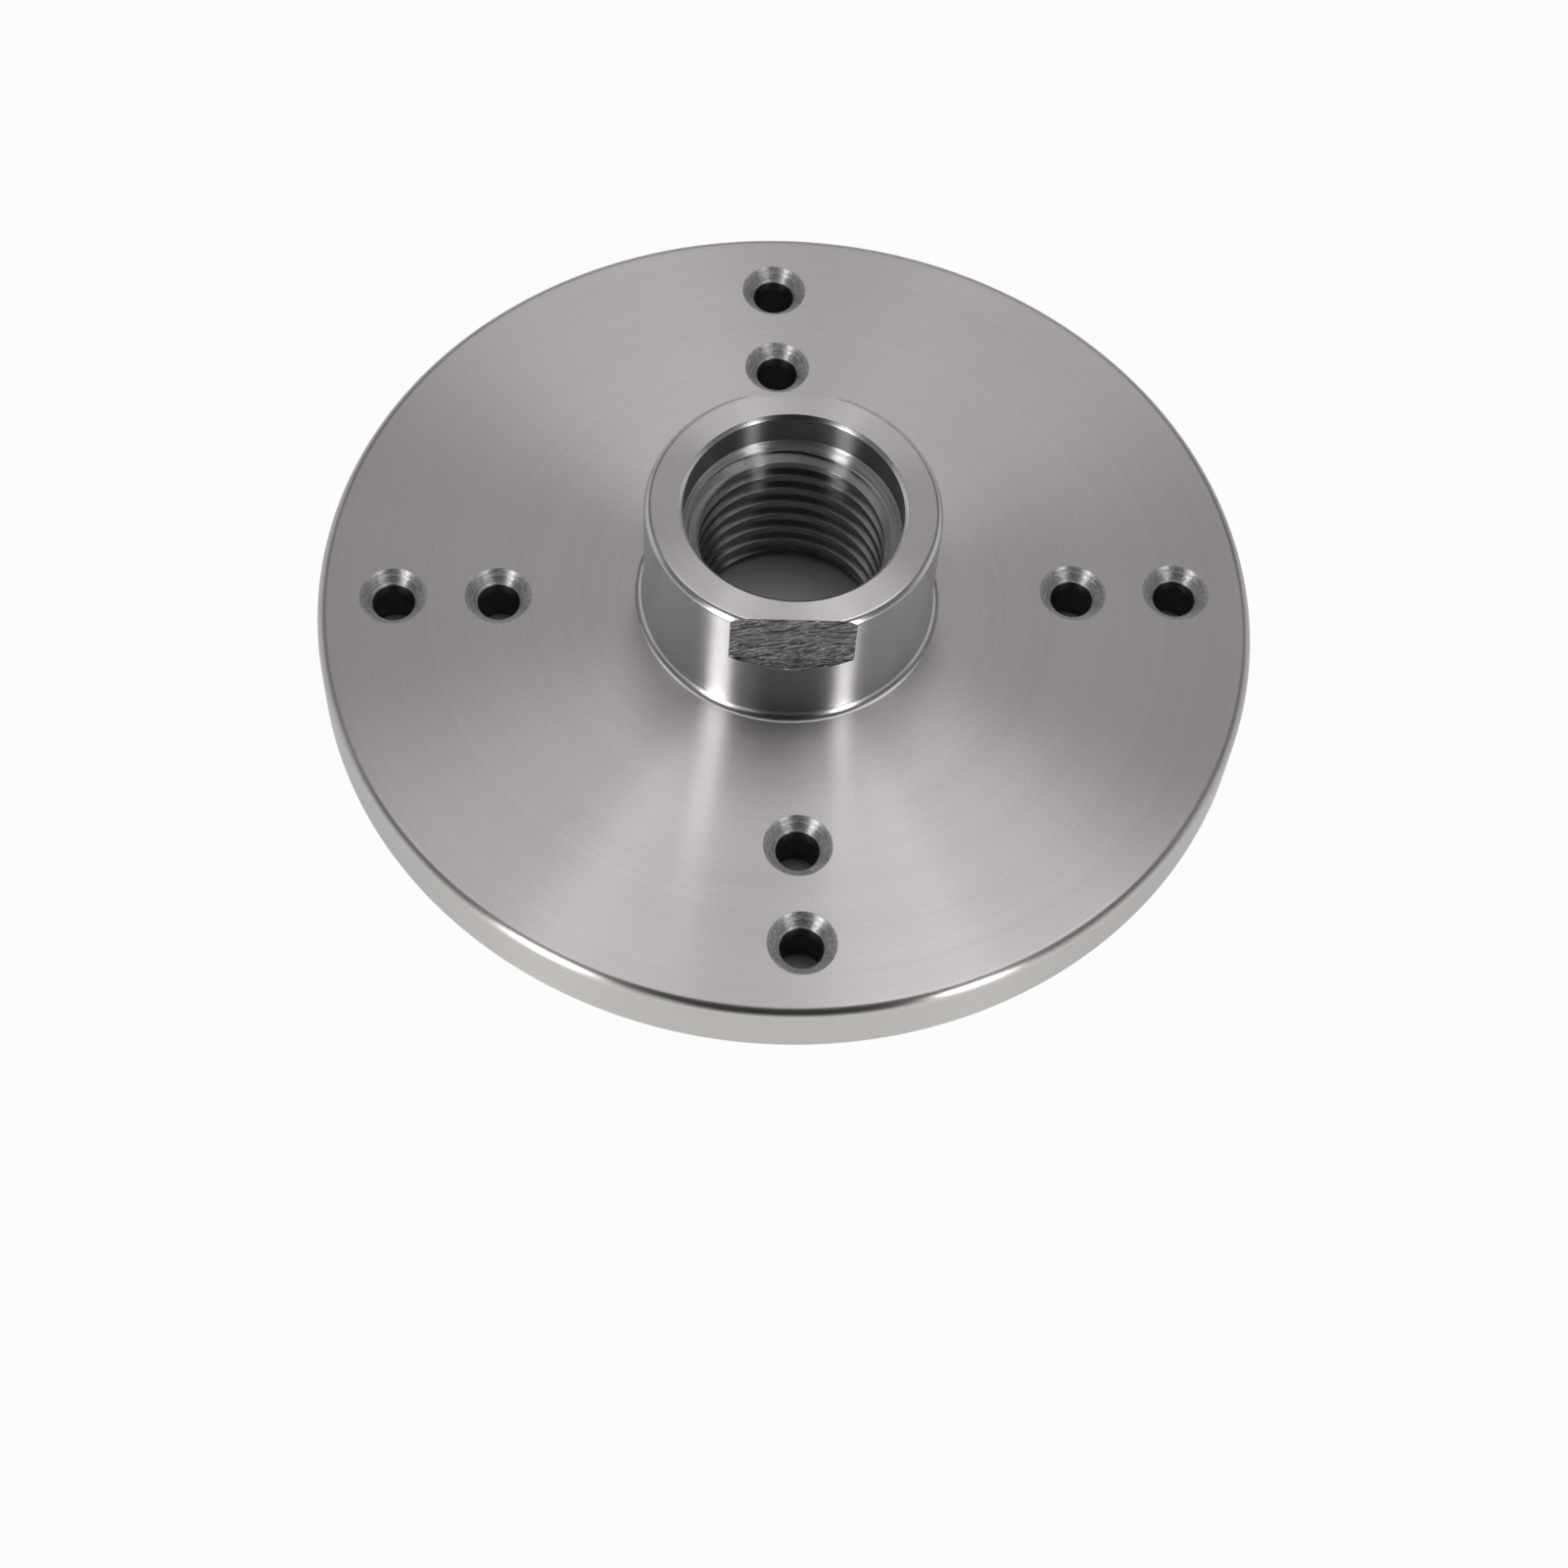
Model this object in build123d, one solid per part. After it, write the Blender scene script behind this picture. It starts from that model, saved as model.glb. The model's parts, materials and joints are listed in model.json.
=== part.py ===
# Faceplate for a wood lathe, turned from one piece of steel.
# The workpiece screws to the flat face at z = 0, and the hub above it screws onto the lathe's spindle.
# Lengths are in millimetres and angles in degrees. The spindle's axis is Z.
import math
import os

from build123d import *

# Plate
plate_diameter = 150.0
plate_thickness = 10.5
rim_round = 1.6
face_edge_break = 0.5

# Spindle thread: the hub bore is left at the minor diameter of a coarse metric thread
thread_diameter = 33.0
thread_pitch = 3.5
thread_flank_angle = 60.0
thread_depth_share = 5 / 8

# Register: the plain counterbore that runs on the unthreaded part of the spindle
register_oversize = 1.3
register_depth = 5.7
register_mouth_chamfer = 0.6

# Tapers at the two ends of the thread
thread_taper_angle = 45.0
thread_exit_depth = 2.0

# Hub: its free edge is broken by a slightly crowned chamfer, as wide as it is high
hub_projection = 24.0
hub_wall = 5.95
hub_edge_break = 0.8
hub_edge_crown = 0.1
hub_base_fillet = 1.5

# Wrench flats, milled into the free end of the hub
flat_count = 2
flat_cut = 2.1
flat_height = 10.6
flat_turn = -2.0

# Countersunk screw holes, in two rings on the same four radial lines
holes_per_ring = 4
first_hole_angle = 0.0
outer_ring_edge_distance = 12.0
ring_spacing = 16.75
screw_hole_diameter = 6.8
countersink_diameter = 10.6
countersink_angle = 90.0
screw_exit_chamfer = 0.4

# Sizes that follow from those above
plate_radius = plate_diameter / 2
hub_top = plate_thickness + hub_projection
thread_sharp_height = thread_pitch / 2 / math.tan(math.radians(thread_flank_angle / 2))
thread_minor_radius = thread_diameter / 2 - thread_depth_share * thread_sharp_height
register_radius = (thread_diameter + register_oversize) / 2
register_floor = hub_top - register_depth
taper_slope = math.tan(math.radians(thread_taper_angle))
thread_start = register_floor - (register_radius - thread_minor_radius) / taper_slope
thread_exit_radius = thread_minor_radius + thread_exit_depth * taper_slope
hub_radius = register_radius + hub_wall
flat_distance = hub_radius - flat_cut
outer_ring_radius = plate_radius - outer_ring_edge_distance
inner_ring_radius = outer_ring_radius - ring_spacing
quarter_turn = 90.0


def turned_blank():
    """Half section of the plate, hub and stepped bore, turned about the spindle axis."""
    rim_centre = (plate_radius - rim_round, plate_thickness - rim_round)
    base_centre = (hub_radius + hub_base_fillet, plate_thickness + hub_base_fillet)
    with BuildPart() as blank:
        with BuildSketch(Plane.XZ):
            with BuildLine():
                Polyline(
                    (thread_exit_radius, 0),
                    (plate_radius - face_edge_break, 0),
                    (plate_radius, face_edge_break),
                    (plate_radius, plate_thickness - rim_round),
                )
                CenterArc(rim_centre, rim_round, 0, quarter_turn)
                Line(
                    (plate_radius - rim_round, plate_thickness),
                    (hub_radius + hub_base_fillet, plate_thickness),
                )
                CenterArc(base_centre, hub_base_fillet, -quarter_turn, -quarter_turn)
                Line(
                    (hub_radius, plate_thickness + hub_base_fillet),
                    (hub_radius, hub_top - hub_edge_break),
                )
                SagittaArc(
                    (hub_radius, hub_top - hub_edge_break),
                    (hub_radius - hub_edge_break, hub_top),
                    -hub_edge_crown,
                )
                Polyline(
                    (hub_radius - hub_edge_break, hub_top),
                    (register_radius + register_mouth_chamfer, hub_top),
                    (register_radius, hub_top - register_mouth_chamfer),
                    (register_radius, register_floor),
                    (thread_minor_radius, thread_start),
                    (thread_minor_radius, thread_exit_depth),
                    (thread_exit_radius, 0),
                )
            make_face()
        revolve(axis=Axis.Z)
    return blank.part


def screw_hole():
    """One countersunk through hole as a solid to cut away, with its mouth at the local origin."""
    hole_radius = screw_hole_diameter / 2
    mouth_radius = countersink_diameter / 2
    cone_depth = (mouth_radius - hole_radius) / math.tan(math.radians(countersink_angle / 2))
    with BuildPart() as hole:
        with BuildSketch(Plane.XZ):
            with BuildLine():
                Polyline(
                    (0, 0),
                    (mouth_radius, 0),
                    (hole_radius, -cone_depth),
                    (hole_radius, screw_exit_chamfer - plate_thickness),
                    (hole_radius + screw_exit_chamfer, -plate_thickness),
                    (0, -plate_thickness),
                    close=True,
                )
            make_face()
        revolve(axis=Axis.Z)
    return hole.part


def wrench_flat():
    """Material milled off the hub for one flat, with the middle of the flat's top edge at the local origin."""
    with BuildPart() as cut:
        Box(
            hub_radius,
            2 * hub_radius,
            flat_height,
            align=(Align.MIN, Align.CENTER, Align.MAX),
        )
    return cut.part


def faceplate():
    """The finished plate: the turned blank with its screw holes drilled and its flats milled."""
    blank = turned_blank()
    hole = screw_hole()
    flat = wrench_flat()
    with BuildPart() as plate:
        add(blank)
        with Locations((0, 0, plate_thickness)):
            for ring_radius in (inner_ring_radius, outer_ring_radius):
                with PolarLocations(ring_radius, holes_per_ring, start_angle=first_hole_angle):
                    add(hole, mode=Mode.SUBTRACT)
        with Locations((0, 0, hub_top)):
            with PolarLocations(flat_distance, flat_count, start_angle=quarter_turn + flat_turn):
                add(flat, mode=Mode.SUBTRACT)
    return plate.part


os.makedirs("parts", exist_ok=True)
finished = faceplate()
export_step(finished, "parts/faceplate.step")
print("faceplate volume, mm3:", round(finished.volume, 1))
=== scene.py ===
import json
import math

import bmesh
import bpy
from mathutils import Matrix, Vector


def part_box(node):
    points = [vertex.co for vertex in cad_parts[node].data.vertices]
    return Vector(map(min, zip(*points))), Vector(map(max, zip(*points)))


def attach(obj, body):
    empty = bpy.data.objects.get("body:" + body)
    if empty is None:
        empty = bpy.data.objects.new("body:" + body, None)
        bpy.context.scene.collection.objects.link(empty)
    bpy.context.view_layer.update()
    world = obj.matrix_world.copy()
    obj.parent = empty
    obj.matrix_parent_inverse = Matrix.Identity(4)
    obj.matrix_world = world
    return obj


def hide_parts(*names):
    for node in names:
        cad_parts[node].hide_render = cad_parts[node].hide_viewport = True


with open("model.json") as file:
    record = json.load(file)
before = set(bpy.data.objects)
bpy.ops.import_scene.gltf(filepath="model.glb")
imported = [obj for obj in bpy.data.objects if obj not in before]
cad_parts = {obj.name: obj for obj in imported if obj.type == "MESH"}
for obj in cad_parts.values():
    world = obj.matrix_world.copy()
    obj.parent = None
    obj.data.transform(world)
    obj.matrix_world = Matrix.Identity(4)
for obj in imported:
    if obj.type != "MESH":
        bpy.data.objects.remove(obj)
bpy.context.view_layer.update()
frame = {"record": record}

mm = 0.001
tiny = 1e-9
scene = bpy.context.scene
mounts = {mount["name"]: mount for mount in frame["record"]["mounts"]}


def mountSize(name, size):
    return mounts[name]["dims"][size] * mm


# what a user would change on the plate; the rest comes from the frame
plateSizes = {
    "thickness": 10.5 * mm,
    "rimRound": 1.6 * mm,
    "faceEdge": 0.45 * mm,
    "hubWall": 5.95 * mm,
    "hubEdge": 0.8 * mm,
    "hubEdgeRound": 0.9 * mm,
    "hubFillet": 1.5 * mm,
    "mouthChamfer": 0.6 * mm,
    "registerDepth": 5.7 * mm,
    "leadReach": 2.2 * mm,      # the lead-in's coarse finish runs this far down the bore
    "threadExit": 2.0 * mm,
    "softEdge": 0.12 * mm,      # the tiny round on the sharp turned corners
    "turnSteps": 360,
    "arcStep": math.radians(11),
}

nodeLow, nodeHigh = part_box("faceplate")
plateRadius = nodeHigh.x
hubTop = nodeHigh.z
minorRadius = mountSize("spindle_thread", "r_mm")
registerRadius = mountSize("spindle_register", "r_mm")
hubRadius = registerRadius + plateSizes["hubWall"]
holeRadius = mountSize("inner_screws", "hole_r_mm")
ringRadii = [mountSize(name, "pcd_mm") / 2 for name in ("inner_screws", "outer_screws")]
holesPerRing = int(mounts["inner_screws"]["dims"]["count"])
registerFloor = hubTop - plateSizes["registerDepth"]
threadStart = registerFloor - (registerRadius - minorRadius)


def roundedOutline(corners, arcStep):
    points = []
    count = len(corners)
    for index, (across, up, radius) in enumerate(corners):
        corner = Vector((across, up))
        back = (Vector(corners[index - 1][:2]) - corner).normalized()
        ahead = (Vector(corners[(index + 1) % count][:2]) - corner).normalized()
        half = back.angle(ahead) / 2
        if radius == 0:
            points.append(corner)
            continue
        centre = corner + (back + ahead).normalized() * radius / math.sin(half)
        first = corner + back * radius / math.tan(half) - centre
        last = corner + ahead * radius / math.tan(half) - centre
        turn = math.atan2(first.x * last.y - first.y * last.x, first.dot(last))
        steps = max(2, math.ceil(abs(turn) / arcStep))
        for step in range(steps + 1):
            points.append(centre + Matrix.Rotation(turn * step / steps, 2) @ first)
    return points


def turnedMesh(name, outline, steps):
    mesh = bmesh.new()
    rings = []
    for point in outline:
        if point.x < tiny:
            rings.append([mesh.verts.new((0, 0, point.y))] * steps)
            continue
        ring = []
        for step in range(steps):
            angle = 2 * math.pi * step / steps
            ring.append(mesh.verts.new((point.x * math.cos(angle), point.x * math.sin(angle), point.y)))
        rings.append(ring)
    for index, ring in enumerate(rings):
        following = rings[(index + 1) % len(rings)]
        for step in range(steps):
            after = (step + 1) % steps
            corners = [ring[step], ring[after], following[after], following[step]]
            distinct = list(dict.fromkeys(corners))
            if len(distinct) > 2:
                mesh.faces.new(distinct)
    bmesh.ops.recalc_face_normals(mesh, faces=mesh.faces)
    data = bpy.data.meshes.new(name)
    mesh.to_mesh(data)
    mesh.free()
    piece = bpy.data.objects.new(name, data)
    scene.collection.objects.link(piece)
    return piece


def turnedBlank():
    s = plateSizes
    soft = s["softEdge"]
    corners = [
        (minorRadius + s["threadExit"], 0, soft),
        (plateRadius, 0, s["faceEdge"]),
        (plateRadius, s["thickness"], s["rimRound"]),
        (hubRadius, s["thickness"], s["hubFillet"]),
        (hubRadius, hubTop - s["hubEdge"], s["hubEdgeRound"]),
        (hubRadius - s["hubEdge"], hubTop, s["hubEdgeRound"]),
        (registerRadius + s["mouthChamfer"], hubTop, soft),
        (registerRadius, hubTop - s["mouthChamfer"], soft),
        (registerRadius, registerFloor, soft),
        (minorRadius, threadStart, soft),
        (minorRadius, threadStart - s["leadReach"], 0),
        (minorRadius, s["threadExit"], soft),
    ]
    return turnedMesh("turnedBlank", roundedOutline(corners, s["arcStep"]), s["turnSteps"])


# countersunk screw holes
holeSizes = {
    "mouthRadius": 5.3 * mm,
    "exitChamfer": 0.4 * mm,
    "softMouth": 0.3 * mm,
    "softFoot": 0.1 * mm,       # where the countersink meets the drilled hole
    "clear": 1.0 * mm,          # how far the cutter stands out of the plate
    "lip": 0.05 * mm,           # the cutter widens this far above the plate's face
    "steps": 96,
}


def holeCutter():
    s = holeSizes
    thickness = plateSizes["thickness"]
    cone = s["mouthRadius"] - holeRadius
    exitEdge = s["exitChamfer"]
    corners = [
        (0, s["clear"], 0),
        (s["mouthRadius"] + s["clear"], s["clear"], 0),
        (s["mouthRadius"] + s["clear"], s["lip"], 0),
        (s["mouthRadius"], 0, s["softMouth"]),
        (holeRadius, -cone, s["softFoot"]),
        (holeRadius, exitEdge - thickness, 0),
        (holeRadius + exitEdge + s["clear"], -thickness - s["clear"], 0),
        (0, -thickness - s["clear"], 0),
    ]
    return turnedMesh("holeCutter", roundedOutline(corners, plateSizes["arcStep"]), s["steps"])


# spindle thread
threadSizes = {
    "majorRadius": 16.5 * mm,
    "pitch": 3.5 * mm,
    "turns": 10.0,
    "turnsBelow": 1.5,          # the helix starts this many turns below the plate
    "startAngle": 0.0,
    "flankAngle": math.radians(30),
    "edgeAngle": math.radians(60),
    "rootHalf": 0.03 * mm,
    "crestEdge": 0.06 * mm,     # depth of the broken edge beside each crest
    "clear": 0.3 * mm,
    "clearSlope": 0.1 * mm,
    "stepsPerTurn": 180,
}


def threadForm():
    s = threadSizes
    depth = s["majorRadius"] - minorRadius
    shoulder = s["rootHalf"] + (depth - s["crestEdge"]) * math.tan(s["flankAngle"])
    mouth = shoulder + (s["crestEdge"] + s["clearSlope"]) * math.tan(s["edgeAngle"])
    half = [
        (depth, s["rootHalf"]),
        (s["crestEdge"], shoulder),
        (-s["clearSlope"], mouth),
        (-s["clear"], mouth),
    ]
    points = half + [(across, -up) for across, up in reversed(half)]
    edges = [(index, (index + 1) % len(points)) for index in range(len(points))]
    data = bpy.data.meshes.new("threadForm")
    data.from_pydata([(across, up, 0) for across, up in points], edges, [])
    piece = bpy.data.objects.new("threadForm", data)
    scene.collection.objects.link(piece)
    return piece


# wrench flats, cut into the free end of the hub
flatSizes = {
    "count": 2,
    "height": 10.6 * mm,
    "turn": math.radians(-2),
}


def flatCutter():
    s = flatSizes
    data = bpy.data.meshes.new("flatCutter")
    mesh = bmesh.new()
    bmesh.ops.create_cube(mesh, size=1)
    wide = 2 * hubRadius
    clear = plateSizes["thickness"]
    place = Matrix.Translation((wide / 2, 0, (clear - s["height"]) / 2))
    size = Matrix.Diagonal((wide, wide, s["height"] + clear, 1))
    bmesh.ops.transform(mesh, matrix=place @ size, verts=mesh.verts)
    mesh.to_mesh(data)
    mesh.free()
    piece = bpy.data.objects.new("flatCutter", data)
    scene.collection.objects.link(piece)
    return piece


def newTree(name, inputs):
    tree = bpy.data.node_groups.new(name, "GeometryNodeTree")
    for label, kind in inputs:
        tree.interface.new_socket(label, in_out="INPUT", socket_type="NodeSocket" + kind)
    tree.interface.new_socket("Geometry", in_out="OUTPUT", socket_type="NodeSocketGeometry")
    return tree


def addNode(tree, kind, settings=None, **values):
    node = tree.nodes.new(kind)
    for key, value in (settings or {}).items():
        setattr(node, key, value)
    for label, value in values.items():
        socket = node.inputs[label.replace("_", " ")]
        if isinstance(value, bpy.types.NodeSocket):
            tree.links.new(value, socket)
        else:
            socket.default_value = value
    return node


def mathNode(tree, operation, first, second=None):
    node = tree.nodes.new("ShaderNodeMath")
    node.operation = operation
    for index, value in enumerate((first, second)):
        if isinstance(value, bpy.types.NodeSocket):
            tree.links.new(value, node.inputs[index])
        elif value is not None:
            node.inputs[index].default_value = value
    return node.outputs[0]


# finishes: their tones are tuned to the photograph under this studio's light, so the bore's and the
# lead-in's aren't the steel's own colour: the darker tones of the bore, its thread and the drilled holes
# are painted shade, and the lead-in's near-white is a painted highlight; stretch is how far the marks draw
# out a highlight
facedFinish = {
    "colour": (0.597, 0.562, 0.584),
    "darkColour": (0.532, 0.501, 0.52),
    "roughness": 0.29,
    "roughSpread": 0.01,
    "edgeTint": (1.0, 1.0, 1.0),   # darker tints hold back the metal's bright edge
    "stretch": 1.0,
    "pitch": 0.6 * mm,
    "markDepth": 0.001 * mm,
    "grain": 0.5 * mm,
}
hubFinish = {
    **facedFinish,
    "colour": (0.59, 0.58, 0.595),
    "darkColour": (0.52, 0.51, 0.525),
    "roughness": 0.31,
}
rimFinish = {
    **facedFinish,
    "colour": (0.59, 0.57, 0.555),
    "darkColour": (0.53, 0.515, 0.5),
    "roughness": 0.285,
    "stretch": 0.8,
    "edgeTint": (0.68, 0.68, 0.68),
}
cornerFinish = {**hubFinish, "roughness": 0.25, "stretch": 0.6}
# the bore's colour is darker than the steel's: painted shade inside the recess
boredShadeFinish = {
    **facedFinish,
    "colour": (0.38, 0.37, 0.38),
    "darkColour": (0.3, 0.29, 0.3),
    "roughness": 0.3,
}
# the thread keeps a colour darker than the steel's: painted shade inside the bore
threadedShadeFinish = {
    **boredShadeFinish,
    "colour": (0.45, 0.44, 0.45),
    "darkColour": (0.35, 0.34, 0.35),
    "pitch": 0.3 * mm,
}
# the lead-in's near-white colour is a painted highlight where the lamps glint in the bore; its dark rings
# are the turning marks
leadHighlightFinish = {
    **facedFinish,
    "colour": (1.0, 0.98, 0.97),
    "darkColour": (0.25, 0.25, 0.25),
    "roughness": 0.33,
    "roughSpread": 0.02,
    "pitch": 0.45 * mm,
    "markDepth": 0.15 * mm,
    "grain": 20.0 * mm,
}
drilledFinish = {
    **facedFinish,
    "colour": (0.7, 0.7, 0.69),
    "darkColour": (0.24, 0.25, 0.25),
    "roughness": 0.46,
    "roughSpread": 0.06,
    "stretch": 0.8,
    "pitch": 0.4 * mm,
    "markDepth": 0.2 * mm,
}
# the holes' steep walls are nearly black: painted shade down in the recess
holeShadeFinish = {
    **drilledFinish,
    "colour": (0.16, 0.16, 0.16),
    "darkColour": (0.08, 0.08, 0.08),
}
milledFinish = {
    "colour": (0.6, 0.59, 0.6),
    "darkColour": (0.03, 0.03, 0.03),
    "roughness": 0.4,
    "roughSpread": 0.08,
    "pitch": 0.6 * mm,
    "length": 2.2 * mm,
    "slant": math.radians(17),  # the strokes climb across the flat
    "waver": 0.9,
    "strokeDetail": 3.0,
    "strokeEdge": 0.6,
    "markDepth": 0.6 * mm,
    "burr": 0.45 * mm,
    "burrLength": 0.9 * mm,
    "burrBreaks": (0.4, 0.5),   # the noise between these values breaks the burr up
    # the burr's near-white colour is a painted glint
    "burrGlintColour": (0.95, 0.95, 0.95),
}


def newShaderGroup(name, inputs, outputs):
    group = bpy.data.node_groups.new(name, "ShaderNodeTree")
    for label, kind in inputs:
        group.interface.new_socket(label, in_out="INPUT", socket_type="NodeSocket" + kind)
    for label, kind in outputs:
        group.interface.new_socket(label, in_out="OUTPUT", socket_type="NodeSocket" + kind)
    return group


def vectorNode(tree, operation, first, second=None):
    node = tree.nodes.new("ShaderNodeVectorMath")
    node.operation = operation
    for index, value in enumerate((first, second)):
        if isinstance(value, bpy.types.NodeSocket):
            tree.links.new(value, node.inputs[index])
        elif value is not None:
            node.inputs[index].default_value = value
    return node


acrossAxis = (1, 1, 0)          # leaves what a place has across the turning axis
markPattern = {
    # scale across the rings, wander round the axis, and detail
    "Height": (1.0, 0.6, 2.0),
    "Bands": (0.09, 0.35, 1.0),
    "heightShare": 1.3,         # rings lie a little closer on a wall than on a face
    "low": 0.25,                # the part of the noise that the marks use
    "high": 0.75,
}


def turningMarksGroup():
    # rings round the turning axis: fine ones as a height, wide ones as a value, and a fine grain
    group = newShaderGroup(
        "turningMarks",
        [("From Axis", "Vector"), ("Pitch", "Float"), ("Grain Size", "Float")],
        [("Height", "Float"), ("Bands", "Float"), ("Grain", "Float")],
    )
    entry = group.nodes.new("NodeGroupInput").outputs
    outlet = group.nodes.new("NodeGroupOutput")
    across = vectorNode(group, "MULTIPLY", entry["From Axis"], acrossAxis)
    radius = vectorNode(group, "LENGTH", across.outputs[0]).outputs["Value"]
    heading = vectorNode(group, "NORMALIZE", across.outputs[0])
    height = addNode(group, "ShaderNodeSeparateXYZ", Vector=entry["From Axis"]).outputs["Z"]
    rise = mathNode(group, "MULTIPLY", height, markPattern["heightShare"])
    travel = mathNode(group, "ADD", radius, rise)
    steps = mathNode(group, "DIVIDE", travel, entry["Pitch"])
    side = addNode(group, "ShaderNodeSeparateXYZ", Vector=heading.outputs[0])
    for label in ("Height", "Bands"):
        coarse, wander, detail = markPattern[label]
        place = addNode(
            group,
            "ShaderNodeCombineXYZ",
            X=mathNode(group, "MULTIPLY", steps, coarse),
            Y=mathNode(group, "MULTIPLY", side.outputs["X"], wander),
            Z=mathNode(group, "MULTIPLY", side.outputs["Y"], wander),
        )
        noise = addNode(group, "ShaderNodeTexNoise", Vector=place.outputs[0], Scale=1.0, Detail=detail)
        group.links.new(noise.outputs["Fac"], outlet.inputs[label])
    fine = mathNode(group, "DIVIDE", 1.0, entry["Grain Size"])
    speckle = addNode(group, "ShaderNodeTexNoise", Vector=entry["From Axis"], Scale=fine, Detail=1.0)
    group.links.new(speckle.outputs["Fac"], outlet.inputs["Grain"])
    return group


turningMarks = turningMarksGroup()


def reachFromAxis(tree, place):
    across = vectorNode(tree, "MULTIPLY", place, acrossAxis)
    return vectorNode(tree, "LENGTH", across.outputs[0]).outputs["Value"]


def rampBetween(tree, value, start, end):
    return addNode(tree, "ShaderNodeMapRange", Value=value, From_Min=start, From_Max=end).outputs[0]


def spreadValue(tree, value, low, high):
    ends = {"From_Min": markPattern["low"], "From_Max": markPattern["high"]}
    node = addNode(tree, "ShaderNodeMapRange", Value=value, To_Min=low, To_Max=high, **ends)
    return node.outputs[0]


def bumpNormal(tree, height, depth):
    return addNode(tree, "ShaderNodeBump", Height=height, Strength=1.0, Distance=depth).outputs[0]


def colourBetween(tree, value, first, second):
    node = tree.nodes.new("ShaderNodeMix")
    node.data_type = "RGBA"
    sockets = [socket for socket in node.inputs if socket.type == "RGBA"]
    for socket, colour in zip(sockets, (first, second)):
        if isinstance(colour, bpy.types.NodeSocket):
            tree.links.new(colour, socket)
        else:
            socket.default_value = (*colour, 1)
    tree.links.new(value, node.inputs[0])
    return next(socket for socket in node.outputs if socket.type == "RGBA")


def newMaterial(name, finish):
    material = bpy.data.materials.new(name)
    material.use_nodes = True
    tree = material.node_tree
    shader = tree.nodes["Principled BSDF"]
    shader.inputs["Metallic"].default_value = 1.0
    shader.inputs["Base Color"].default_value = (*finish["colour"], 1)
    shader.inputs["Roughness"].default_value = finish["roughness"]
    material.diffuse_color = (*finish["colour"], 1)
    return material, tree, shader


quarterTurn = 0.25              # highlights stretch across the marks, as on turned steel


def turnedMetal(name, finish):
    material, tree, shader = newMaterial(name, finish)
    place = addNode(tree, "ShaderNodeTexCoord").outputs["Object"]
    centre = addNode(tree, "ShaderNodeAttribute", {"attribute_name": "turningCentre"})
    fromAxis = vectorNode(tree, "SUBTRACT", place, centre.outputs["Vector"])
    marks = tree.nodes.new("ShaderNodeGroup")
    marks.node_tree = turningMarks
    marks.inputs["Pitch"].default_value = finish["pitch"]
    marks.inputs["Grain Size"].default_value = finish["grain"]
    tree.links.new(fromAxis.outputs[0], marks.inputs["From Axis"])
    rough, spread = finish["roughness"], finish["roughSpread"]
    gloss = spreadValue(tree, marks.outputs["Bands"], rough - spread, rough + spread)
    tree.links.new(gloss, shader.inputs["Roughness"])
    both = mathNode(tree, "ADD", marks.outputs["Height"], marks.outputs["Grain"])
    tone = spreadValue(tree, mathNode(tree, "DIVIDE", both, 2.0), 0, 1)
    metal = colourBetween(tree, tone, finish["darkColour"], finish["colour"])
    tree.links.new(metal, shader.inputs["Base Color"])
    tree.links.new(bumpNormal(tree, marks.outputs["Height"], finish["markDepth"]), shader.inputs["Normal"])
    # the cutting direction runs round the axis
    along = vectorNode(tree, "CROSS_PRODUCT", (0, 0, 1), fromAxis.outputs[0])
    frames = {"vector_type": "VECTOR", "convert_from": "OBJECT", "convert_to": "WORLD"}
    turned = addNode(tree, "ShaderNodeVectorTransform", frames, Vector=along.outputs[0])
    tree.links.new(turned.outputs[0], shader.inputs["Tangent"])
    shader.inputs["Specular Tint"].default_value = (*finish["edgeTint"], 1)
    shader.inputs["Anisotropic"].default_value = finish["stretch"]
    shader.inputs["Anisotropic Rotation"].default_value = quarterTurn
    return material


def milledMetal(name, finish):
    material, tree, shader = newMaterial(name, finish)
    place = addNode(tree, "ShaderNodeTexCoord").outputs["Object"]
    turned = addNode(tree, "ShaderNodeMapping", Vector=place, Rotation=(0, finish["slant"], 0))
    stretch = (1 / finish["length"], 1 / finish["pitch"], 1 / finish["pitch"])
    strokes = vectorNode(tree, "MULTIPLY", turned.outputs[0], stretch)
    noise = addNode(
        tree,
        "ShaderNodeTexNoise",
        Vector=strokes.outputs[0],
        Scale=1.0,
        Detail=finish["strokeDetail"],
        Roughness=finish["strokeEdge"],
        Distortion=finish["waver"],
    )
    marks = noise.outputs["Fac"]
    rough, spread = finish["roughness"], finish["roughSpread"]
    gloss = spreadValue(tree, marks, rough - spread, rough + spread)
    tree.links.new(gloss, shader.inputs["Roughness"])
    metal = colourBetween(tree, spreadValue(tree, marks, 0, 1), finish["darkColour"], finish["colour"])

    # a broken burr stands along the outer edge of the ledge: its relief is a bump, and its near-white
    # colour is a painted glint
    reach = reachFromAxis(tree, place)
    height = addNode(tree, "ShaderNodeSeparateXYZ", Vector=place).outputs["Z"]
    ledge = hubTop - flatSizes["height"]
    edge = rampBetween(tree, reach, hubRadius - finish["burr"], hubRadius)
    low = rampBetween(tree, height, ledge + finish["burr"], ledge)
    crumbs = addNode(tree, "ShaderNodeTexNoise", Vector=place, Scale=1 / finish["burrLength"], Detail=1.0)
    broken = rampBetween(tree, crumbs.outputs["Fac"], *finish["burrBreaks"])
    burr = mathNode(tree, "MULTIPLY", mathNode(tree, "MULTIPLY", edge, low), broken)
    tree.links.new(colourBetween(tree, burr, metal, finish["burrGlintColour"]), shader.inputs["Base Color"])
    relief = mathNode(tree, "ADD", marks, burr)
    tree.links.new(bumpNormal(tree, relief, finish["markDepth"]), shader.inputs["Normal"])
    return material


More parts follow.
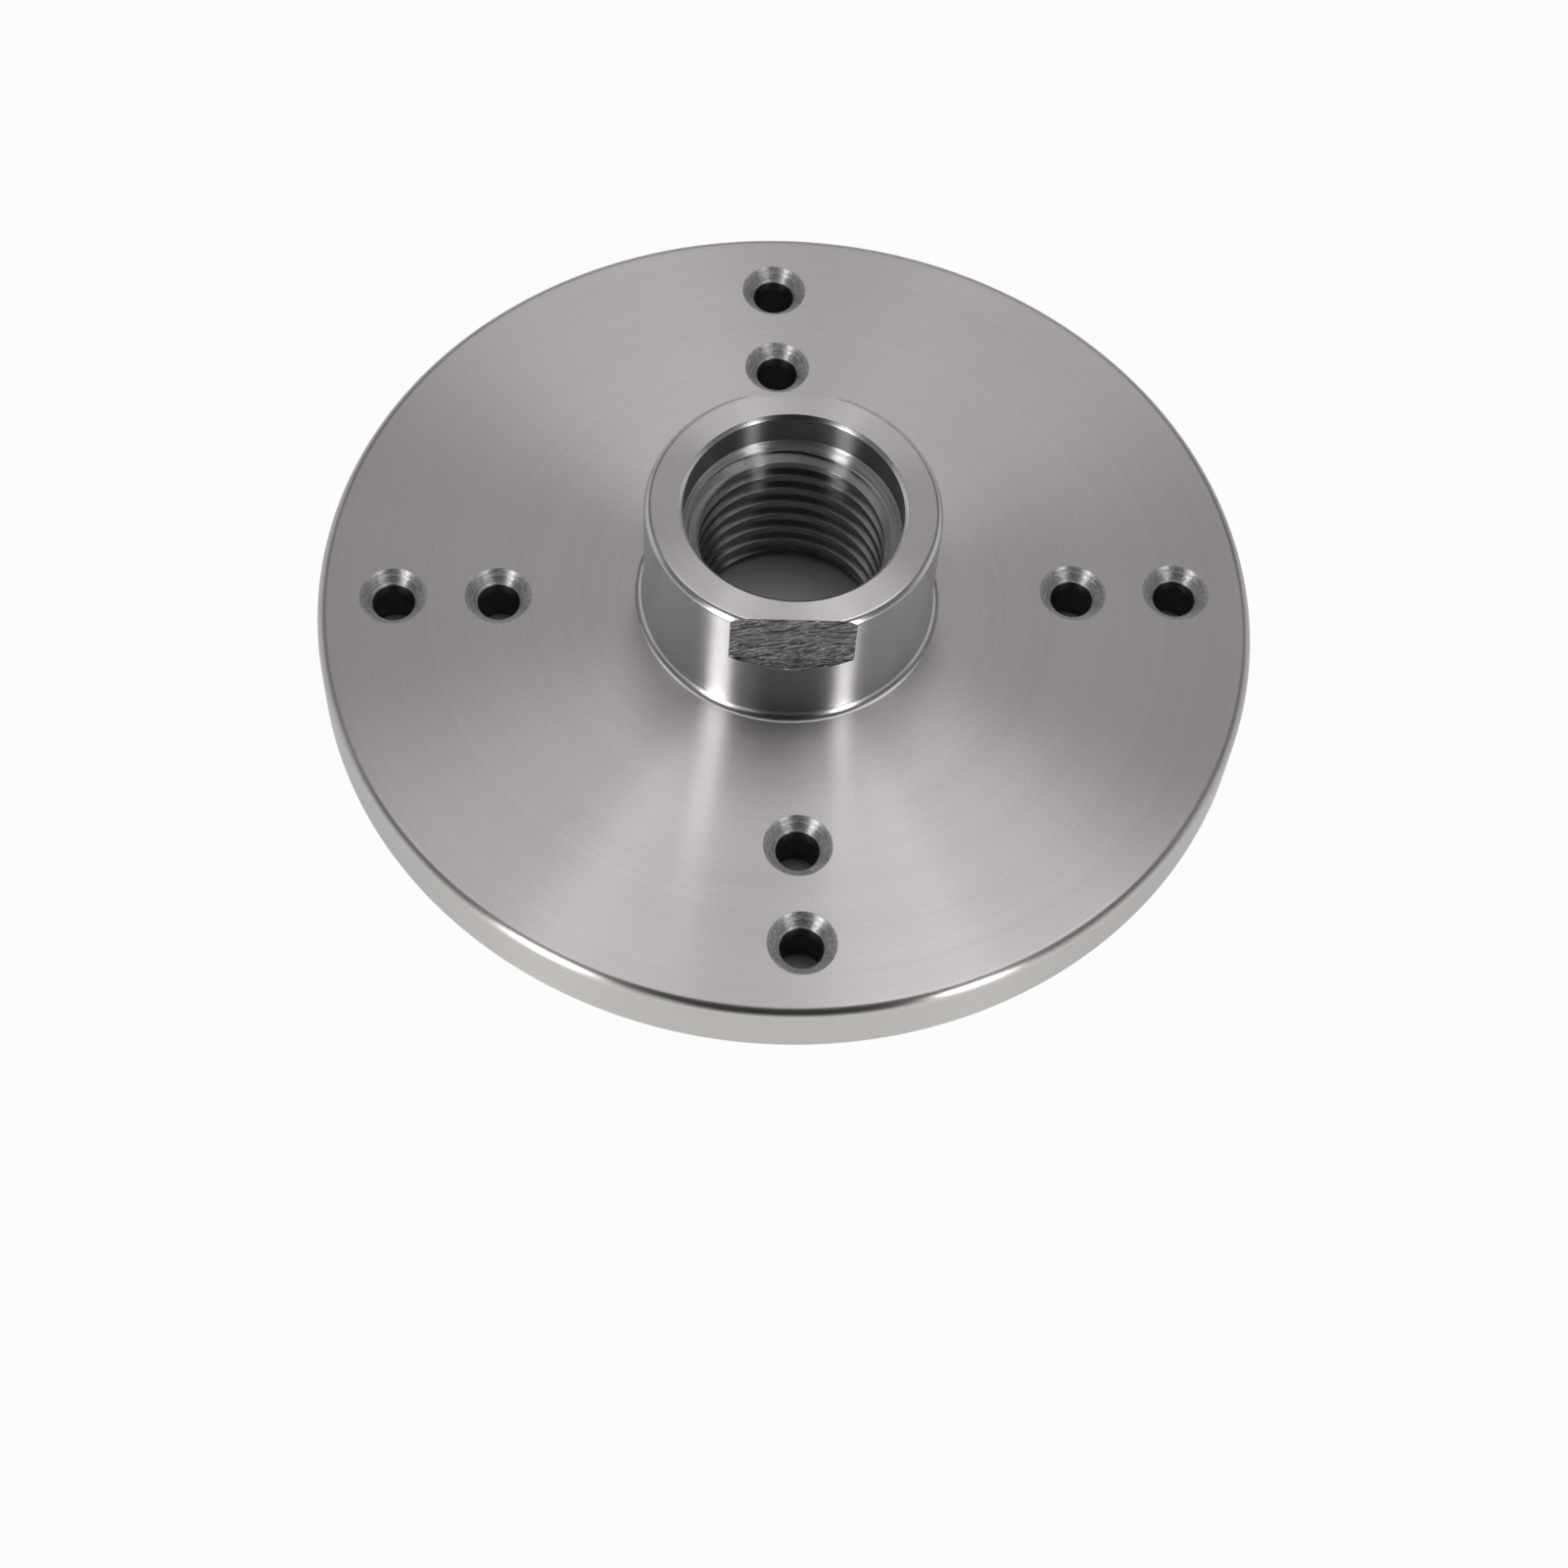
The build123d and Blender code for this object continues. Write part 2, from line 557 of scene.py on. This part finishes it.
def polarCopies(tree, cutter, count, radius, firstAngle, height):
    # copies of a cutter round the axis, each turned to face outwards
    row = addNode(tree, "GeometryNodeMeshLine", Count=count)
    index = addNode(tree, "GeometryNodeInputIndex").outputs[0]
    share = mathNode(tree, "DIVIDE", index, count)
    angle = mathNode(tree, "ADD", mathNode(tree, "MULTIPLY", share, 2 * math.pi), firstAngle)
    place = addNode(
        tree,
        "ShaderNodeCombineXYZ",
        X=mathNode(tree, "MULTIPLY", mathNode(tree, "COSINE", angle), radius),
        Y=mathNode(tree, "MULTIPLY", mathNode(tree, "SINE", angle), radius),
        Z=height,
    )
    placed = addNode(tree, "GeometryNodeSetPosition", Geometry=row.outputs[0], Position=place.outputs[0])
    turn = addNode(tree, "ShaderNodeCombineXYZ", Z=angle)
    rotation = addNode(tree, "FunctionNodeEulerToRotation", Euler=turn.outputs[0])
    copies = addNode(
        tree,
        "GeometryNodeInstanceOnPoints",
        Points=placed.outputs[0],
        Instance=cutter,
        Rotation=rotation.outputs[0],
    )
    solid = addNode(tree, "GeometryNodeRealizeInstances", Geometry=copies.outputs[0])
    return solid.outputs[0], placed.outputs[0]


def finished(tree, geometry, finish, where=True):
    node = addNode(tree, "GeometryNodeSetMaterial", Geometry=geometry, Material=finish, Selection=where)
    return node.outputs[0]


finishPlaces = {
    # how far a face's normal leans up or down, from 0 on a wall to 1 on a flat face
    "cornerTilt": 0.02,
    "facedTilt": 0.99,
    "steepTilt": 0.3,
    "boreOutside": 0.02 * mm,
    "leadInside": 0.1 * mm,
    "sharpAngle": math.radians(20),
    "normalWeight": 90,         # how strongly the wide faces hold the shading of their edges
}


def machiningTree():
    tree = newTree(
        "machining",
        [
            ("Geometry", "Geometry"),
            ("Hole Cutter", "Object"),
            ("Holes Per Ring", "Int"),
            ("Inner Ring", "Float"),
            ("Outer Ring", "Float"),
            ("Plate Top", "Float"),
            ("Flat Cutter", "Object"),
            ("Flat Count", "Int"),
            ("Flat Distance", "Float"),
            ("Flat Turn", "Float"),
            ("Hub Top", "Float"),
            ("Thread Form", "Object"),
            ("Thread Radius", "Float"),
            ("Thread Pitch", "Float"),
            ("Thread Turns", "Float"),
            ("Turns Below", "Float"),
            ("Thread Start", "Float"),
            ("Steps Per Turn", "Int"),
            ("Faced Finish", "Material"),
            ("Hub Finish", "Material"),
            ("Rim Finish", "Material"),
            ("Drilled Finish", "Material"),
            ("Hole Shade Finish", "Material"),
            ("Threaded Finish", "Material"),
            ("Milled Finish", "Material"),
            ("Corner Finish", "Material"),
            ("Bored Finish", "Material"),
            ("Lead Finish", "Material"),
            ("Rim Start", "Float"),
            ("Bore Radius", "Float"),
            ("Lead Height", "Float"),
            ("Sharp Angle", "Float"),
        ],
    )
    entry = tree.nodes.new("NodeGroupInput").outputs
    outlet = tree.nodes.new("NodeGroupOutput")
    hole = addNode(tree, "GeometryNodeObjectInfo", Object=entry["Hole Cutter"]).outputs["Geometry"]
    flat = addNode(tree, "GeometryNodeObjectInfo", Object=entry["Flat Cutter"]).outputs["Geometry"]
    form = addNode(tree, "GeometryNodeObjectInfo", Object=entry["Thread Form"]).outputs["Geometry"]
    holes, holeCentres = zip(*[
        polarCopies(tree, hole, entry["Holes Per Ring"], entry[ring], 0.0, entry["Plate Top"])
        for ring in ("Inner Ring", "Outer Ring")
    ])
    flats = polarCopies(
        tree, flat, entry["Flat Count"], entry["Flat Distance"], entry["Flat Turn"], entry["Hub Top"]
    )[0]
    helix = addNode(
        tree,
        "GeometryNodeCurveSpiral",
        Resolution=entry["Steps Per Turn"],
        Rotations=entry["Thread Turns"],
        Start_Radius=entry["Thread Radius"],
        End_Radius=entry["Thread Radius"],
        Height=mathNode(tree, "MULTIPLY", entry["Thread Turns"], entry["Thread Pitch"]),
        Reverse=True,
    )
    turnBack = addNode(tree, "ShaderNodeCombineXYZ", Z=entry["Thread Start"])
    below = mathNode(tree, "MULTIPLY", entry["Thread Pitch"], entry["Turns Below"])
    drop = addNode(tree, "ShaderNodeCombineXYZ", Z=mathNode(tree, "MULTIPLY", below, -1.0))
    placed = addNode(
        tree,
        "GeometryNodeTransform",
        Geometry=helix.outputs[0],
        Translation=drop.outputs[0],
        Rotation=turnBack.outputs[0],
    )
    upright = addNode(tree, "GeometryNodeSetCurveNormal", {"mode": "Z_UP"}, Curve=placed.outputs[0])
    section = addNode(tree, "GeometryNodeMeshToCurve", Mesh=form)
    groove = addNode(
        tree,
        "GeometryNodeCurveToMesh",
        Curve=upright.outputs[0],
        Profile_Curve=section.outputs[0],
        Fill_Caps=True,
    )
    cut = addNode(tree, "GeometryNodeMeshBoolean", {"operation": "DIFFERENCE", "solver": "EXACT"})

    # the finishes follow the slope of a surface and its distance from the axis
    normal = addNode(tree, "GeometryNodeInputNormal")
    slope = addNode(tree, "ShaderNodeSeparateXYZ", Vector=normal.outputs[0]).outputs["Z"]
    tilt = mathNode(tree, "ABSOLUTE", slope)
    spot = addNode(tree, "GeometryNodeInputPosition").outputs[0]
    reach = reachFromAxis(tree, spot)
    height = addNode(tree, "ShaderNodeSeparateXYZ", Vector=spot).outputs["Z"]
    boreEdge = mathNode(tree, "ADD", entry["Bore Radius"], finishPlaces["boreOutside"])
    leadEdge = mathNode(tree, "SUBTRACT", entry["Bore Radius"], finishPlaces["leadInside"])
    inLead = mathNode(tree, "LESS_THAN", reach, leadEdge)
    overLead = mathNode(tree, "GREATER_THAN", height, entry["Lead Height"])
    places = [
        ("Corner", mathNode(tree, "GREATER_THAN", tilt, finishPlaces["cornerTilt"])),
        ("Rim", mathNode(tree, "GREATER_THAN", reach, entry["Rim Start"])),
        ("Faced", mathNode(tree, "GREATER_THAN", tilt, finishPlaces["facedTilt"])),
        ("Bored", mathNode(tree, "LESS_THAN", reach, boreEdge)),
        ("Lead", mathNode(tree, "MULTIPLY", inLead, overLead)),
    ]
    turned = finished(tree, entry["Geometry"], entry["Hub Finish"])
    for finish, where in places:
        turned = finished(tree, turned, entry[finish + " Finish"], where)
    tree.links.new(turned, cut.inputs["Mesh 1"])
    # the steep walls of the drilled holes take the near-black painted shade
    steep = mathNode(tree, "LESS_THAN", tilt, finishPlaces["steepTilt"])
    for drill in holes:
        cutter = finished(tree, drill, entry["Drilled Finish"])
        tree.links.new(finished(tree, cutter, entry["Hole Shade Finish"], steep), cut.inputs["Mesh 2"])
    for cutter, finish in ((flats, "Milled"), (groove.outputs[0], "Threaded")):
        tree.links.new(finished(tree, cutter, entry[finish + " Finish"]), cut.inputs["Mesh 2"])
    whole = addNode(tree, "GeometryNodeRealizeInstances", Geometry=cut.outputs["Mesh"])

    # every face keeps the axis that it was turned round: its own hole's, or the spindle's
    centres = addNode(tree, "GeometryNodeJoinGeometry")
    for points in holeCentres:
        tree.links.new(points, centres.inputs[0])
    nearest = addNode(tree, "GeometryNodeSampleNearest", {"domain": "POINT"}, Geometry=centres.outputs[0])
    centre = addNode(
        tree,
        "GeometryNodeSampleIndex",
        {"data_type": "FLOAT_VECTOR", "domain": "POINT"},
        Geometry=centres.outputs[0],
    )
    tree.links.new(spot, centre.inputs["Value"])
    tree.links.new(nearest.outputs[0], centre.inputs["Index"])
    drilled = mathNode(
        tree,
        "MAXIMUM",
        addNode(tree, "GeometryNodeMaterialSelection", Material=entry["Drilled Finish"]).outputs[0],
        addNode(tree, "GeometryNodeMaterialSelection", Material=entry["Hole Shade Finish"]).outputs[0],
    )
    marked = addNode(
        tree,
        "GeometryNodeStoreNamedAttribute",
        {"data_type": "FLOAT_VECTOR", "domain": "FACE"},
        Geometry=whole.outputs[0],
        Selection=drilled,
        Name="turningCentre",
        Value=centre.outputs[0],
    )
    smooth = addNode(tree, "GeometryNodeSetShadeSmooth", {"domain": "FACE"}, Geometry=marked.outputs[0])
    edge = addNode(tree, "GeometryNodeInputMeshEdgeAngle").outputs["Unsigned Angle"]
    sharp = mathNode(tree, "GREATER_THAN", edge, entry["Sharp Angle"])
    creased = addNode(
        tree,
        "GeometryNodeSetShadeSmooth",
        {"domain": "EDGE"},
        Geometry=smooth.outputs[0],
        Selection=sharp,
        Shade_Smooth=False,
    )
    tree.links.new(creased.outputs[0], outlet.inputs[0])
    return tree


def setInputs(modifier, values):
    items = modifier.node_group.interface.items_tree
    sockets = {item.name: item.identifier for item in items if item.in_out == "INPUT"}
    for name, value in values.items():
        modifier[sockets[name]] = value


def frozenPiece(source, name):
    bpy.context.view_layer.update()
    graph = bpy.context.evaluated_depsgraph_get()
    data = bpy.data.meshes.new_from_object(source.evaluated_get(graph), depsgraph=graph)
    data.name = name
    piece = bpy.data.objects.new(name, data)
    scene.collection.objects.link(piece)
    return piece


def makeFinishes():
    finishes = {
        "Faced Finish": turnedMetal("facedSteel", facedFinish),
        "Hub Finish": turnedMetal("hubSteel", hubFinish),
        "Rim Finish": turnedMetal("rimSteel", rimFinish),
        "Drilled Finish": turnedMetal("drilledSteel", drilledFinish),
        "Hole Shade Finish": turnedMetal("holeShadeSteel", holeShadeFinish),
        "Threaded Finish": turnedMetal("threadedShadeSteel", threadedShadeFinish),
        "Milled Finish": milledMetal("milledSteel", milledFinish),
        "Corner Finish": turnedMetal("cornerSteel", cornerFinish),
        "Bored Finish": turnedMetal("boredShadeSteel", boredShadeFinish),
        "Lead Finish": turnedMetal("leadHighlightSteel", leadHighlightFinish),
    }
    print("finishes:", len(finishes))
    return finishes


def makePlate():
    blank = turnedBlank()
    hole, flat, form = holeCutter(), flatCutter(), threadForm()
    modifier = blank.modifiers.new("machining", "NODES")
    modifier.node_group = machiningTree()
    flatMount = mounts["wrench_flat_back"]
    setInputs(
        modifier,
        {
            "Hole Cutter": hole,
            "Holes Per Ring": holesPerRing,
            "Inner Ring": ringRadii[0],
            "Outer Ring": ringRadii[1],
            "Plate Top": plateSizes["thickness"],
            "Flat Cutter": flat,
            "Flat Count": flatSizes["count"],
            "Flat Distance": Vector(flatMount["pos_m"]).to_2d().length,
            "Flat Turn": math.pi / 2 + flatSizes["turn"],
            "Hub Top": hubTop,
            "Thread Form": form,
            "Thread Radius": minorRadius,
            "Thread Pitch": threadSizes["pitch"],
            "Thread Turns": threadSizes["turns"],
            "Turns Below": threadSizes["turnsBelow"],
            "Thread Start": threadSizes["startAngle"],
            "Steps Per Turn": threadSizes["stepsPerTurn"],
            **makeFinishes(),
            "Rim Start": plateRadius - 2 * plateSizes["rimRound"],
            "Bore Radius": registerRadius,
            "Lead Height": threadStart - plateSizes["leadReach"],
            "Sharp Angle": finishPlaces["sharpAngle"],
        },
    )
    # wide flat faces keep their own normal, so the small rounds beside them don't bend it
    weighted = blank.modifiers.new("weightedNormals", "WEIGHTED_NORMAL")
    weighted.keep_sharp = True
    weighted.weight = finishPlaces["normalWeight"]
    piece = frozenPiece(blank, "faceplateDressed")
    blank.modifiers.clear()
    for spare in (blank, hole, flat, form):
        bpy.data.objects.remove(spare)
    print("plate:", len(piece.data.vertices), "points,", len(piece.data.polygons), "faces")
    return piece


plate = makePlate()
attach(plate, "root")
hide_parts("faceplate")

# camera
cameraSizes = {
    "azimuth": math.radians(-6.366),
    "elevation": math.radians(59.393),
    "roll": math.radians(5.029),
    "distance": 463.63 * mm,
    "focalPixels": 2944.2,
    "imageSize": 1601,
    "anchorPixel": (803.6, 606.7),   # where the middle of the plate's top face falls
    "sensor": 36.0,
    "clip": (0.01, 100),
}


def makeCamera():
    s = cameraSizes
    az, el, roll = s["azimuth"], s["elevation"], s["roll"]
    back = Vector((math.sin(az) * math.cos(el), -math.cos(az) * math.cos(el), math.sin(el)))
    right = Vector((math.cos(az), math.sin(az), 0))
    up = back.cross(right)
    across = right * math.cos(roll) + up * math.sin(roll)
    rise = up * math.cos(roll) - right * math.sin(roll)
    middle = s["imageSize"] / 2
    scale = s["distance"] / s["focalPixels"]
    offAcross = (s["anchorPixel"][0] - middle) * scale
    offRise = (middle - s["anchorPixel"][1]) * scale
    anchor = Vector((0, 0, plateSizes["thickness"]))
    place = anchor - across * offAcross - rise * offRise + back * s["distance"]
    data = bpy.data.cameras.new("camera")
    data.sensor_width = s["sensor"]
    data.lens = s["focalPixels"] * s["sensor"] / s["imageSize"]
    data.clip_start, data.clip_end = s["clip"]
    camera = bpy.data.objects.new("camera", data)
    scene.collection.objects.link(camera)
    turn = Matrix((across, rise, back)).transposed()
    camera.matrix_world = Matrix.Translation(place) @ turn.to_4x4()
    scene.camera = camera
    print("camera:", round(data.lens, 1), "mm lens")


makeCamera()

# studio
softBoxes = {
    # azimuth runs as on the plate: 270 degrees is the camera's side
    "leftBox": {
        "azimuth": 225, "elevation": 14, "distance": 0.9,
        "width": 0.2, "height": 0.46, "glow": 11.8,
    },
    "rightBox": {
        "azimuth": 305, "elevation": 15, "distance": 0.9,
        "width": 0.15, "height": 0.48, "glow": 9.3,
    },
    "backBox": {
        "azimuth": 84, "elevation": 74, "distance": 1.0,
        "width": 0.34, "height": 0.9, "glow": 0.97,
    },
    "leftTopBox": {
        "azimuth": 151, "elevation": 69, "distance": 1.1,
        "width": 0.46, "height": 0.54, "glow": 1.0,
    },
    "rightTopBox": {
        "azimuth": 20, "elevation": 71, "distance": 1.1,
        "width": 0.47, "height": 0.46, "glow": 1.5,
    },
    "backFill": {
        "azimuth": 84, "elevation": 25, "distance": 1.2,
        "width": 1.0, "height": 0.6, "glow": 0.2,
    },
    "leftFill": {
        "azimuth": 152, "elevation": 22, "distance": 1.2,
        "width": 0.9, "height": 0.5, "glow": 0.3,
    },
    "rightFill": {
        "azimuth": 15, "elevation": 22, "distance": 1.2,
        "width": 0.9, "height": 0.5, "glow": 0.3,
    },
}
darkCards = {
    # they keep the camera's side of the room dark in the metal
    "cameraCard": {
        "azimuth": 273, "elevation": 45, "distance": 1.3,
        "width": 1.3, "height": 2.55,
    },
    "leftCard": {
        "azimuth": 225, "elevation": 65, "distance": 1.3,
        "width": 0.85, "height": 0.62,
    },
}
studioSizes = {
    "floorHalf": 30.0,
    "floorPaint": 0.62,
    "floorGlow": 0.96,          # share of the paper's white that no shadow reaches
    "underPaint": 0.7,
    "glowStart": 74 * mm,       # inside this the paper has no glow and shows its own paint
    "glowFull": 75 * mm,
    "glowFades": 100 * mm,      # in the metal the paper's white ends away from the plate
    "glowGone": 160 * mm,
    "backdropRadius": 3.5,
    "backdropHeight": 0.75,
    "backdropThick": 0.02,
    "backdropSteps": 96,
    "backdropGlow": 0.965,
    "cardPaint": 0.02,
    "room": 0.155,
}


def studioDirection(values):
    azimuth, elevation = math.radians(values["azimuth"]), math.radians(values["elevation"])
    return Vector((
        math.cos(azimuth) * math.cos(elevation),
        math.sin(azimuth) * math.cos(elevation),
        math.sin(elevation),
    ))


def turnToPlate(thing, values):
    # stands a light or a card in its place, turned towards the plate
    away = studioDirection(values)
    thing.location = away * values["distance"]
    thing.rotation_euler = away.to_track_quat("Z", "Y").to_euler()


def makeDarkCard(name, values, material):
    across, rise = values["width"] / 2, values["height"] / 2
    data = bpy.data.meshes.new(name)
    corners = [(-across, -rise, 0), (across, -rise, 0), (across, rise, 0), (-across, rise, 0)]
    data.from_pydata(corners, [], [(0, 1, 2, 3)])
    data.materials.append(material)
    card = bpy.data.objects.new(name, data)
    scene.collection.objects.link(card)
    turnToPlate(card, values)
    card.visible_camera = False


def cardPaper():
    material = bpy.data.materials.new("cardPaper")
    material.use_nodes = True
    shader = material.node_tree.nodes["Principled BSDF"]
    paint = studioSizes["cardPaint"]
    shader.inputs["Base Color"].default_value = (paint, paint, paint, 1)
    shader.inputs["Roughness"].default_value = 1.0
    return material


def makeSoftBox(name, values):
    data = bpy.data.lights.new(name, "AREA")
    data.shape = "RECTANGLE"
    data.size, data.size_y = values["width"], values["height"]
    data.energy = values["glow"] * math.pi * data.size * data.size_y
    box = bpy.data.objects.new(name, data)
    scene.collection.objects.link(box)
    box.visible_camera = False
    turnToPlate(box, values)


def seenInMetal(tree, path):
    # 1 for the rays that shiny or clear surfaces send out
    return mathNode(tree, "MAXIMUM", path.outputs["Is Glossy Ray"], path.outputs["Is Transmission Ray"])


def floorPaper():
    # the camera and shiny metal see the paper nearly white, which leaves its shadow very faint
    material = bpy.data.materials.new("floorPaper")
    material.use_nodes = True
    tree = material.node_tree
    tree.nodes.clear()
    place = addNode(tree, "ShaderNodeTexCoord").outputs["Object"]
    reach = vectorNode(tree, "LENGTH", place).outputs["Value"]
    ends = {"From_Min": studioSizes["glowStart"], "From_Max": studioSizes["glowFull"]}
    tone = addNode(
        tree,
        "ShaderNodeMapRange",
        Value=reach,
        To_Min=studioSizes["underPaint"],
        To_Max=studioSizes["floorPaint"],
        **ends,
    )
    paint = addNode(tree, "ShaderNodeBsdfDiffuse", Color=tone.outputs[0])
    glow = addNode(tree, "ShaderNodeEmission", Strength=1.0)
    path = addNode(tree, "ShaderNodeLightPath")
    near = rampBetween(tree, reach, studioSizes["glowGone"], studioSizes["glowFades"])
    mirrored = mathNode(tree, "MULTIPLY", seenInMetal(tree, path), near)
    seen = mathNode(tree, "MAXIMUM", path.outputs["Is Camera Ray"], mirrored)
    outside = addNode(tree, "ShaderNodeMapRange", Value=reach, To_Max=studioSizes["floorGlow"], **ends)
    share = mathNode(tree, "MULTIPLY", seen, outside.outputs[0])
    mixed = addNode(tree, "ShaderNodeMixShader", Fac=share)
    tree.links.new(paint.outputs[0], mixed.inputs[1])
    tree.links.new(glow.outputs[0], mixed.inputs[2])
    surface = tree.nodes.new("ShaderNodeOutputMaterial")
    tree.links.new(mixed.outputs[0], surface.inputs["Surface"])
    return material


def makeFloor():
    half = studioSizes["floorHalf"]
    data = bpy.data.meshes.new("floor")
    corners = [(-half, -half, 0), (half, -half, 0), (half, half, 0), (-half, half, 0)]
    data.from_pydata(corners, [], [(0, 1, 2, 3)])
    data.materials.append(floorPaper())
    floor = bpy.data.objects.new("floor", data)
    scene.collection.objects.link(floor)


def makeBackdrop():
    # a pale wall far round the plate, so that low views end in white and not in the room's grey
    s = studioSizes
    inner, top = s["backdropRadius"], s["backdropHeight"]
    outer = inner + s["backdropThick"]
    outline = [Vector(corner) for corner in ((inner, 0), (outer, 0), (outer, top), (inner, top))]
    wall = turnedMesh("backdrop", outline, s["backdropSteps"])
    material = bpy.data.materials.new("backdropPaper")
    material.use_nodes = True
    tree = material.node_tree
    tree.nodes.clear()
    path = addNode(tree, "ShaderNodeLightPath")
    seen = mathNode(tree, "MAXIMUM", path.outputs["Is Camera Ray"], seenInMetal(tree, path))
    tone = addNode(tree, "ShaderNodeMapRange", Value=seen, To_Min=s["room"], To_Max=s["backdropGlow"])
    glow = addNode(tree, "ShaderNodeEmission", Strength=tone.outputs[0])
    surface = tree.nodes.new("ShaderNodeOutputMaterial")
    tree.links.new(glow.outputs[0], surface.inputs["Surface"])
    wall.data.materials.append(material)
    print("backdrop:", inner, "m from the plate")


def makeWorld():
    world = bpy.data.worlds.new("studio")
    world.use_nodes = True
    scene.world = world
    room = studioSizes["room"]
    world.node_tree.nodes["Background"].inputs["Color"].default_value = (room, room, room, 1)


makeFloor()
makeBackdrop()
makeWorld()
for name, values in softBoxes.items():
    makeSoftBox(name, values)
cardMaterial = cardPaper()
for name, values in darkCards.items():
    makeDarkCard(name, values, cardMaterial)
print("studio:", len(softBoxes), "soft boxes,", len(darkCards), "dark cards")

scene.view_settings.view_transform = "Standard"
